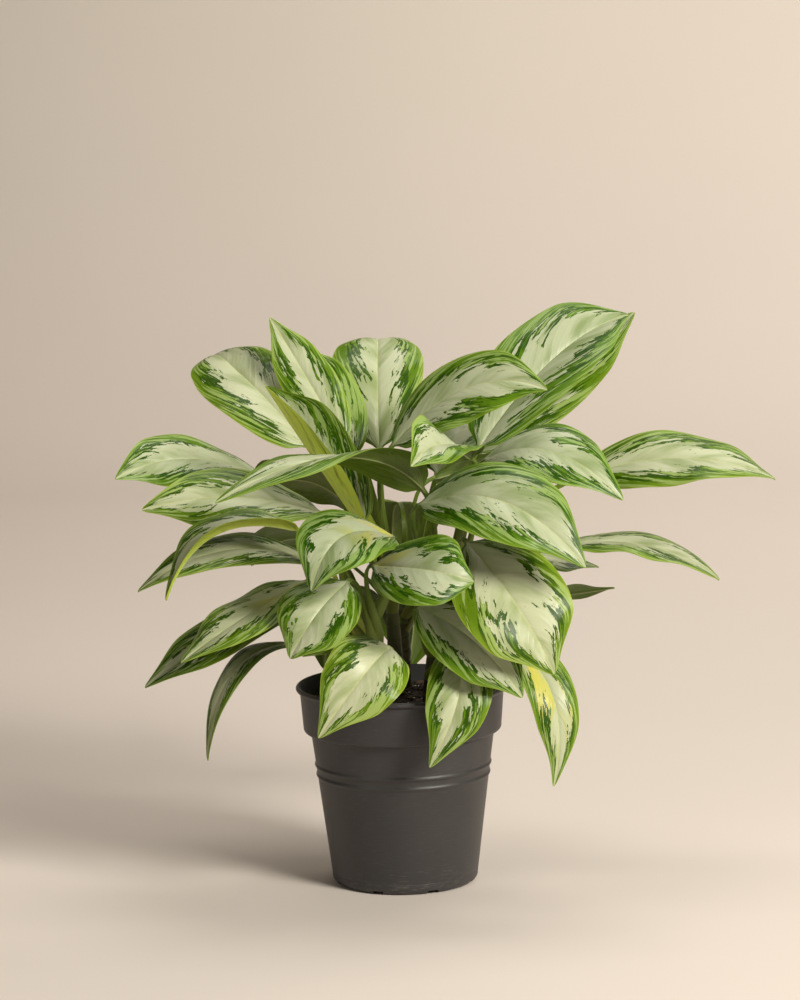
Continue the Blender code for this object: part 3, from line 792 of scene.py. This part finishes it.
def pot_inside():
    step = BAND_BOTTOM - STEP_ROUNDING
    points = [(FLOOR_RADIUS, FLOOR)]
    points.append((body_radius(CORNER_ROUNDING) - WALL, CORNER_ROUNDING + WALL))
    points.append((body_radius(step) - WALL, step))
    points.append((BAND_BOTTOM_RADIUS - WALL, BAND_BOTTOM + WALL))
    points.append((BAND_TOP_RADIUS - WALL, POT_HEIGHT - LIP_HEIGHT))
    points.append((LIP_RADIUS - LIP_HEIGHT * 0.75, POT_HEIGHT - LIP_EDGE))
    return points


def notch_cutter():
    bm = bmesh.new()
    length = NOTCH_OUTER_RADIUS - NOTCH_INNER_RADIUS
    place = Matrix.Translation((NOTCH_INNER_RADIUS + length / 2, 0, (NOTCH_HEIGHT - NOTCH_BELOW) / 2))
    size = Matrix.Diagonal((length, NOTCH_WIDTH, NOTCH_HEIGHT + NOTCH_BELOW, 1))
    for k in range(NOTCH_COUNT):
        turn = Matrix.Rotation(2 * math.pi * (k + 0.5) / NOTCH_COUNT, 4, "Z")
        bmesh.ops.create_cube(bm, size=1.0, matrix=turn @ place @ size)
    mesh = bpy.data.meshes.new("notch_cutter")
    bm.to_mesh(mesh)
    bm.free()
    return bpy.data.objects.new("notch_cutter", mesh)


def cut_and_apply(obj, cutter):
    """Cuts the mesh for good, so that no helper stays in the scene."""
    bpy.context.scene.collection.objects.link(cutter)
    modifier = obj.modifiers.new("Cut", "BOOLEAN")
    modifier.solver = "EXACT"
    modifier.object = cutter
    cut = bpy.data.meshes.new_from_object(obj.evaluated_get(bpy.context.evaluated_depsgraph_get()))
    obj.modifiers.clear()
    obj.data = cut
    bpy.data.objects.remove(cutter, do_unlink=True)


def make_pot():
    profile = [(0, 0)] + pot_outside() + pot_inside()[::-1] + [(0, FLOOR)]
    points, faces = lathe(profile, POT_SEGMENTS)
    pot = mesh_piece("pot_shell", points, faces, pot_material(), ["nursery_pot"])
    cut_and_apply(pot, notch_cutter())
    pot.data.shade_smooth()
    pot.data.set_sharp_from_angle(angle=math.radians(POT_SMOOTH_ANGLE))


# The soil.


def soil_height(x, y):
    radius = math.hypot(x, y)
    crown = SOIL_CROWN * (1 - (radius / BAND_TOP_RADIUS) ** 2)
    clods = noise.fractal(Vector((x, y, 0)) * CLOD_FINENESS, 0.9, 2.1, 4)
    lumps = noise.noise(Vector((x, y, 3)) * LUMP_FINENESS)
    return SOIL_TOP + crown + CLOD_RISE * (clods + LUMP_SHARE * lumps)


def make_soil():
    top_radius = BAND_BOTTOM_RADIUS - WALL - CLEARANCE
    points = [(0, 0, FLOOR + CLEARANCE)]
    rows = [(r - CLEARANCE, z + CLEARANCE) for r, z in pot_inside()[:3]]
    rows.append((top_radius, BAND_BOTTOM + WALL + CLEARANCE))
    rows += [(top_radius * (1 - k / SOIL_RINGS), None) for k in range(SOIL_RINGS)]
    for r, z in rows:
        for k in range(SOIL_SEGMENTS):
            turn = 2 * math.pi * k / SOIL_SEGMENTS
            x, y = r * math.cos(turn), r * math.sin(turn)
            points.append((x, y, soil_height(x, y) if z is None else z))
    points.append((0, 0, soil_height(0, 0)))
    faces = []
    for row in range(len(rows)):
        for k in range(SOIL_SEGMENTS):
            here = 1 + row * SOIL_SEGMENTS + k
            after = 1 + row * SOIL_SEGMENTS + (k + 1) % SOIL_SEGMENTS
            if row == 0:
                faces.append((0, after, here))
            if row == len(rows) - 1:
                faces.append((here, after, len(points) - 1))
            else:
                faces.append((here, after, after + SOIL_SEGMENTS, here + SOIL_SEGMENTS))
    mesh_piece("soil_body", points, faces, soil_material(), ["potting_soil"], smooth_angle=80)


def lump(random, centre, size, stretch):
    """An irregular little stone or chip, as points and faces."""
    bm = bmesh.new()
    bmesh.ops.create_icosphere(bm, subdivisions=1, radius=1.0)
    for vert in bm.verts:
        vert.co *= 1 + random.uniform(-0.28, 0.28)
    turn = Matrix.Rotation(random.uniform(0, math.pi), 4, "Z")
    tilt = Matrix.Rotation(random.uniform(-0.6, 0.6), 4, "X")
    scale = Matrix.Diagonal((size * stretch[0], size * stretch[1], size * stretch[2], 1))
    bmesh.ops.transform(bm, matrix=Matrix.Translation(centre) @ turn @ tilt @ scale, verts=bm.verts)
    points = [tuple(v.co) for v in bm.verts]
    faces = [tuple(v.index for v in f.verts) for f in bm.faces]
    bm.free()
    return points, faces


def scatter(name, count, seed, sizes, stretch, finish, rise):
    """Loose bits on the soil, all one piece, each raised by this share of its size."""
    random = np.random.default_rng(seed)
    points, faces = [], []
    reach = BAND_BOTTOM_RADIUS - WALL - BITS_MARGIN
    for _ in range(count):
        radius = reach * math.sqrt(random.uniform(0, 1))
        turn = random.uniform(0, 2 * math.pi)
        x, y = radius * math.cos(turn), radius * math.sin(turn)
        size = random.uniform(*sizes)
        centre = Vector((x, y, soil_height(x, y) + size * rise))
        more_points, more_faces = lump(random, centre, size, stretch)
        faces += [tuple(i + len(points) for i in face) for face in more_faces]
        points += more_points
    mesh_piece(name, points, faces, finish, smooth_angle=30)


def make_soil_bits():
    perlite = chip_material("perlite", PERLITE, 0.85)
    bark = chip_material("bark", BARK, 0.8)
    crumb = chip_material("peat_crumb", PEAT, 0.9)
    grain, flake = (1.1, 0.9, 0.8), (1.7, 0.8, 0.35)
    scatter("perlite_grains", 170, 3, (0.7 * MM, 1.7 * MM), grain, perlite, rise=0.2)
    scatter("bark_chips", 260, 4, (1.5 * MM, 3.6 * MM), flake, bark, rise=0.2)
    scatter("peat_crumbs", 900, 5, (0.8 * MM, 2.3 * MM), grain, crumb, rise=0.1)


# Canes.


def cane_point(cane, height):
    foot = Vector((cane.foot[0] * CM, cane.foot[1] * CM, SOIL_TOP))
    top = Vector(cane.top) * CM
    share = (height - foot.z) / (top.z - foot.z)
    lean = Vector((top.x - foot.x, top.y - foot.y, 0)) * CANE_BOW
    return foot.lerp(top, share) + lean * (share * share - share) * 0.5


def cane_radius(cane, height):
    share = (height - SOIL_TOP) / (cane.top[2] * CM - SOIL_TOP)
    return cane.radius * CM * (1 - CANE_TAPER * max(0.0, share))


def swell(cycle, middle, width):
    return math.exp(-(((cycle - middle) / width) ** 2))


def make_cane(name, cane, finish, random):
    """A stem with a leaf scar at each node: a shallow groove under a raised ring."""
    bottom, top = SOIL_TOP - CANE_SINK, cane.top[2] * CM
    scar_every = random.uniform(*SCAR_SPACING) * MM
    phase = random.uniform(0, 1)
    points = []
    for k in range(CANE_RINGS):
        z = bottom + (top - bottom) * k / (CANE_RINGS - 1)
        scar, cycle = divmod(z / scar_every + phase, 1.0)
        ring = SCAR_RIDGE * swell(cycle, 0.5, 0.07) - SCAR_GROOVE * swell(cycle, 0.34, 0.06)
        in_dome = max(0.0, (z - top + CANE_TOP_ROUNDING) / CANE_TOP_ROUNDING)
        dome = math.sqrt(max(0.0, 1 - in_dome**2))
        centre = cane_point(cane, z)
        for j in range(CANE_SIDES):
            turn = 2 * math.pi * j / CANE_SIDES
            tilt = SCAR_TILT * math.cos(turn + SCAR_TURN * scar)
            radius = (cane_radius(cane, z) + ring * (1 + tilt) * MM) * max(dome, 0.02)
            x, y = radius * math.cos(turn), radius * math.sin(turn)
            points.append((centre.x + x, centre.y + y, centre.z))
    faces = loft_faces(CANE_RINGS, CANE_SIDES)
    mesh_piece("stem_" + name, points, faces, finish, ["cane_" + name])


# Leaves.


def smooth(value, low, high):
    share = min(1.0, max(0.0, (value - low) / (high - low)))
    return share * share * (3 - 2 * share)


def bezier(points, t):
    while len(points) > 1:
        points = [a.lerp(b, t) for a, b in zip(points, points[1:])]
    return points[0]


def blade_curve(leaf):
    base, middle, tip = (Vector(p) * CM for p in (leaf.base, leaf.middle, leaf.tip))
    return [base, middle * 2 - (base + tip) / 2, tip]


def blade_place(leaf, t):
    """A point on the blade's midrib. The arch lifts the outer half before the tip bends away."""
    outer = max(0.0, 2 * t - 1)
    lift = leaf.arch * CM * ARCH_PEAK * outer * outer * (1 - outer)
    return bezier(blade_curve(leaf), t) + Vector(leaf.face).normalized() * lift


def petiole_foot(leaf):
    """The petiole's foot and the level direction in which it leaves its cane."""
    cane = CANES[leaf.cane]
    axis = cane_point(cane, leaf.node * CM)
    base = Vector(leaf.base) * CM
    out = Vector((base.x - axis.x, base.y - axis.y, 0)).normalized()
    reach = cane_radius(cane, leaf.node * CM) + CLEARANCE + PETIOLE_FOOT_RADIUS * 1.15
    return axis + out * reach, out


def petiole_curve(leaf):
    blade = blade_curve(leaf)
    base = blade[0]
    foot, out = petiole_foot(leaf)
    span = (base - foot).length
    leaving = (Vector((0, 0, 1)) + out * PETIOLE_LEAN).normalized()
    arriving = (blade[1] - base).normalized()
    after_foot = foot + leaving * span * PETIOLE_LEAVING
    before_base = base - arriving * span * PETIOLE_ARRIVING
    return [foot, after_foot, before_base, base]


def half_width(t):
    """The blade's half width at this share of its length, as a share of its greatest."""
    falling = BASE_ROUNDNESS * (1 - WIDEST) / WIDEST
    shape = (t / WIDEST) ** BASE_ROUNDNESS * ((1 - t) / (1 - WIDEST)) ** falling
    return shape * (1 - TIP_PINCH * smooth(t, PINCH_START, 1.0))


def blade_half_width(leaf, along):
    """The blade's half width. It never falls to nothing, so that the leaf stays one solid."""
    return leaf.width * CM / 2 * half_width(max(along, 1e-4))


def carried(normal, tangent, after):
    return (tangent.rotation_difference(after).to_matrix() @ normal).normalized()


def midrib(leaf, alongs):
    """Places along the petiole and blade, with the tip added. The sheath starts at its cane's axis."""
    petiole = petiole_curve(leaf)
    places = [bezier(petiole, a + 1) if a < 0 else blade_place(leaf, a) for a in alongs]
    places.append(Vector(leaf.tip) * CM)
    to_axis = cane_point(CANES[leaf.cane], leaf.node * CM) - petiole[0]
    return [p + to_axis * (1 - smooth(a, -1.0, -0.5)) for p, a in zip(places, alongs + [1.0])]


def square_to(direction, tangent):
    return (direction - tangent * direction.dot(tangent)).normalized()


def carried_ups(leaf, alongs, tangents):
    """The upper side's direction at each station, carried both ways from where the leaf gives it."""
    middle = min(range(len(alongs)), key=lambda k: abs(alongs[k] - FACE_STATION))
    ups = [None] * len(alongs)
    ups[middle] = square_to(Vector(leaf.face), tangents[middle])
    for k in range(middle + 1, len(alongs)):
        ups[k] = carried(ups[k - 1], tangents[k - 1], tangents[k])
    for k in range(middle - 1, -1, -1):
        ups[k] = carried(ups[k + 1], tangents[k + 1], tangents[k])
    return ups


def leaf_frames(leaf):
    """Stations (along, place, side, up): along runs from -1 at the foot through 0 to 1 at the tip."""
    alongs = [k / PETIOLE_STATIONS - 1 for k in range(PETIOLE_STATIONS)]
    alongs += [LAST_STATION * k / (BLADE_STATIONS - 1) for k in range(BLADE_STATIONS)]
    places = midrib(leaf, alongs)
    tangents = [(b - a).normalized() for a, b in zip(places, places[1:])]
    ups = carried_ups(leaf, alongs, tangents)
    wanted = square_to(-petiole_foot(leaf)[1], tangents[0])
    start = Matrix.Rotation(math.radians(-leaf.twist / 2), 3, tangents[0]) @ ups[0]
    turn_at_foot = math.atan2(start.cross(wanted).dot(tangents[0]), start.dot(wanted))
    for along, place, tangent, up in zip(alongs, places, tangents, ups):
        angle = math.radians(leaf.twist) * (max(along, 0.0) - 0.5)
        angle += turn_at_foot * (1 - smooth(along, -1.0, -0.15))
        turned = Matrix.Rotation(angle, 3, tangent) @ up
        yield along, place, tangent.cross(turned), turned


def spread():
    """Shares across the leaf, from the left margin to the right, closer together at the midrib."""
    half = [(k / (HALF_POINTS - 1)) ** MIDRIB_CROWDING for k in range(HALF_POINTS)]
    return np.array([-h for h in reversed(half)] + half[1:])


def petiole_section(along, shares, clasped):
    """(across, lower, upper) of the sheath that clasps a cane of this radius and narrows to a stalk."""
    open_share = smooth(along, -1.0, -0.45)
    foot_share = smooth(along, -1.0, -0.90)
    sheath = clasped + SHEATH_STANDOFF * foot_share
    width = sheath + (PETIOLE_RADIUS - sheath) * open_share
    wrap = math.radians(SHEATH_WRAP - (SHEATH_WRAP - STALK_WRAP) * open_share)
    angle = shares * wrap
    across = width * np.sin(angle)
    lower = width * (0.15 * open_share - np.cos(angle))
    wall = SHEATH_STANDOFF * (0.2 + 0.7 * foot_share)
    wall = wall + (width * 1.05 - wall) * open_share
    inner = wall * (1 - np.abs(shares) ** 2.2) + MARGIN_THICKNESS
    return across, lower, lower + inner


def blade_section(leaf, along, length, shares, waves):
    """(across, lower, upper) of two halves that rise from the midrib and curve over, with wavy margins."""
    fold, sag = math.radians(leaf.fold), math.radians(leaf.sag)
    width = blade_half_width(leaf, along)
    reach = np.abs(shares)
    across = np.sign(shares) * width * (math.sin(fold) - np.sin(fold - sag * reach)) / sag
    rise = width * (np.cos(fold - sag * reach) - math.cos(fold)) / sag
    rise = rise + margin_wave(along, shares, width, waves)
    flow = vein_flow(along * length, reach, length)
    flutes = FLUTE_HEIGHT * np.sin(4 * math.pi * flow / VEIN_SPACING) * smooth(width, 8 * MM, 20 * MM)
    rise = rise + flutes * reach * (1 - reach) * 4
    groove = np.exp(-((across / GROOVE_HALF_WIDTH) ** 2))
    rise = rise - GROOVE_DEPTH * groove * (1 - 0.6 * along)
    rib = (RIB_DEPTH - RIB_FALL * along) * np.exp(-((across / RIB_HALF_WIDTH) ** 2))
    thickness = MARGIN_THICKNESS + (LEAF_THICKNESS - MARGIN_THICKNESS) * (1 - reach**4)
    return across, rise - thickness - rib, rise


def margin_wave(along, shares, width, waves):
    """How far the blade lifts at each point: a slow ripple that grows towards each margin."""
    height = np.zeros_like(shares)
    for side in (-1, 1):
        count, phase, size = waves[side]
        ripple = size * math.sin(2 * math.pi * (count * along + phase)) * smooth(along, 0.0, 0.2)
        height += np.where(shares * side > 0, ripple * np.abs(shares) ** WAVE_POWER, 0.0)
    return height * min(1.0, width / WAVE_FULL_WIDTH)


def vein_flow(distance, reach, length):
    """Constant along each lateral vein, which leaves the midrib slanting and sweeps towards the tip."""
    return distance - length * (VEIN_SLANT * reach + VEIN_SWEEP * reach**3)


def margin_waves(random):
    """Each margin's waves: how many there are along the blade, their phase, and their height."""
    waves = {}
    for side in (-1, 1):
        waves[side] = random.uniform(1.6, 2.8), random.uniform(0, 1), random.uniform(0.8, 2.2) * MM
    return waves


def blade_length(leaf):
    places = [bezier(blade_curve(leaf), k / 20) for k in range(21)]
    return sum((b - a).length for a, b in zip(places, places[1:]))


def make_leaf(number, leaf, finish):
    random = np.random.default_rng(FIRST_LEAF_SEED + number)
    shares = spread()
    waves = margin_waves(random)
    length = blade_length(leaf)
    # the first trait is how young the leaf is, which also sets its painted light shining through the
    # underside
    traits = (YOUNG_AND_LIT_THROUGH.get(leaf.name, 0.0), YELLOWED.get(leaf.name, 0.0), random.uniform(-1, 1))
    clasped = cane_radius(CANES[leaf.cane], leaf.node * CM)
    points, place, flow = [], [], []
    for along, centre, side, up in leaf_frames(leaf):
        section = petiole_section(min(along, 0.0), shares, clasped)
        if along >= 0:
            share = smooth(along, 0.0, 0.055)
            grown = blade_section(leaf, along, length, shares, waves)
            section = tuple(a + (b - a) * share for a, b in zip(section, grown))
        across, lower, upper = section
        outline = [(x, z, s, 0.0) for x, z, s in zip(across, upper, shares)]
        outline += [(x, z, s, 1.0) for x, z, s in zip(across[::-1], lower[::-1], shares[::-1])]
        width = blade_half_width(leaf, along)
        for x, z, s, under in outline:
            points.append(centre + side * x + up * z)
            place.append((along, s, under))
            flow.append((vein_flow(along * length, abs(s), length), number * LEAF_SEED_STEP, width))
    count = 2 * len(shares)
    faces = loft_faces(len(points) // count, count)
    piece = mesh_piece(leaf.name + "_grown", points, faces, finish, [leaf.name])
    store(piece.data, "place", place)
    store(piece.data, "flow", flow)
    store(piece.data, "traits", [traits] * len(points))


def store(mesh, name, values):
    attribute = mesh.attributes.new(name, "FLOAT_VECTOR", "POINT")
    attribute.data.foreach_set("vector", np.array(values, np.float32).ravel())


def make_shoot(number, shoot, finish):
    """A furled leaf: one sheet rolled into a spear, with its free edge showing as a spiral seam."""
    foot = Vector(CANES[shoot.cane].top) * CM - Vector((0, 0, 3 * MM))
    middle, tip = Vector(shoot.middle) * CM, Vector(shoot.tip) * CM
    control = middle * 2 - (foot + tip) / 2
    points, place, flow = [], [], []
    for k in range(SHOOT_RINGS):
        t = k / SHOOT_RINGS
        centre = bezier([foot, control, tip], t)
        size = shoot.radius * CM * (0.75 + 0.5 * smooth(t, 0, 0.25)) * (1 - t) ** 0.7
        for j in range(SHOOT_SIDES):
            share = j / SHOOT_SIDES
            turn = 2 * math.pi * share + SHOOT_SPIRAL * t
            radius = size * (1 + SHOOT_STEP * share) + 0.1 * MM
            points.append(centre + Vector((math.cos(turn), math.sin(turn), 0)) * radius)
            place.append((-0.25 + 0.2 * t, share * 2 - 1, 0.0))
            flow.append((t * 0.05, number * SHOOT_SEED_STEP, radius))
    faces = loft_faces(SHOOT_RINGS, SHOOT_SIDES)
    piece = mesh_piece(shoot.name + "_grown", points, faces, finish, [shoot.name])
    store(piece.data, "place", place)
    store(piece.data, "flow", flow)
    store(piece.data, "traits", [SHOOT_TRAITS] * len(points))


# The stage, the lights and the camera.

SWEEP_DEPTH = 4.6  # from the plant to the wall behind it
SWEEP_HEIGHT = 5.0
SWEEP_RADIUS = 1.6
SWEEP_REACH = 9.0  # to each side, and towards the camera
FLOOR_DROP = 0.2 * MM
AIM = (0, 0, 0.30)  # where every light points but the wall's own
WORLD_COLOR = (1.0, 0.93, 0.78, 1.0)
WORLD_STRENGTH = 0.085
CAMERA_PLACE = (0.002, -3.2, 0.814)
CAMERA_LENS = 118.2
LOOK_DOWN = math.radians(7.71)
ROLL = math.radians(-1.15)


def make_stage():
    """A pale floor that sweeps up into a wall well behind the plant."""
    profile = [(-SWEEP_REACH, 0.0), (SWEEP_DEPTH - SWEEP_RADIUS, 0.0)]
    profile += arc((SWEEP_DEPTH - SWEEP_RADIUS, SWEEP_RADIUS), SWEEP_RADIUS, -90, 0, 24)
    profile.append((SWEEP_DEPTH, SWEEP_HEIGHT))
    points = [(x, y, z - FLOOR_DROP) for x in (-SWEEP_REACH, SWEEP_REACH) for y, z in profile]
    count = len(profile)
    faces = [(k + 1, k, k + count, k + count + 1) for k in range(count - 1)]
    mesh = bpy.data.meshes.new("sweep")
    mesh.from_pydata(points, [], faces)
    mesh.materials.append(stage_material("paper_sweep", LIT_PAPER_FLOOR, PAPER_WALL))
    mesh.shade_smooth()
    sweep = bpy.data.objects.new("sweep", mesh)
    bpy.context.scene.collection.objects.link(sweep)


def area_light(name, place, target, size, power, color):
    light = bpy.data.lights.new(name, "AREA")
    light.shape = "DISK"
    light.size = size
    light.energy = power
    light.color = color
    obj = bpy.data.objects.new(name, light)
    obj.location = place
    obj.rotation_euler = (Vector(target) - Vector(place)).to_track_quat("-Z", "Y").to_euler()
    bpy.context.scene.collection.objects.link(obj)


def make_lights():
    world = bpy.data.worlds.new("studio")
    world.use_nodes = True
    background = world.node_tree.nodes["Background"]
    background.inputs["Color"].default_value = WORLD_COLOR
    background.inputs["Strength"].default_value = WORLD_STRENGTH
    bpy.context.scene.world = world
    area_light("key", (2.0, -2.2, 2.0), AIM, 1.2, 140, (1.0, 0.965, 0.875))
    area_light("fill", (-1.9, -2.4, 1.2), AIM, 1.8, 9, (1.0, 0.96, 0.92))
    area_light("top", (0.1, 0.4, 2.6), AIM, 1.3, 20, (1.0, 0.96, 0.88))
    area_light("wall", (1.7, 2.2, 3.2), (1.3, 4.6, 0.6), 2.0, 84, (1.0, 0.94, 0.87))


def make_camera():
    camera = bpy.data.cameras.new("camera")
    camera.lens = CAMERA_LENS
    camera.sensor_width = 36.0
    camera.clip_start = 0.1
    obj = bpy.data.objects.new("camera", camera)
    tilt = Matrix.Rotation(math.pi / 2 - LOOK_DOWN, 4, "X") @ Matrix.Rotation(ROLL, 4, "Z")
    obj.matrix_world = Matrix.Translation(CAMERA_PLACE) @ tilt
    bpy.context.scene.collection.objects.link(obj)
    bpy.context.scene.camera = obj


def make_plant():
    random = np.random.default_rng(CANE_SEED)
    cane_finish = cane_material()
    for name, cane in CANES.items():
        make_cane(name, cane, cane_finish, random)
    leaf_finish = leaf_material()
    for number, leaf in enumerate(LEAVES):
        make_leaf(number, leaf, leaf_finish)
    for number, shoot in enumerate(SHOOTS):
        make_shoot(number, shoot, leaf_finish)


make_pot()
make_soil()
make_soil_bits()
make_plant()
make_stage()
make_lights()
make_camera()
bpy.context.scene.view_settings.view_transform = "Standard"
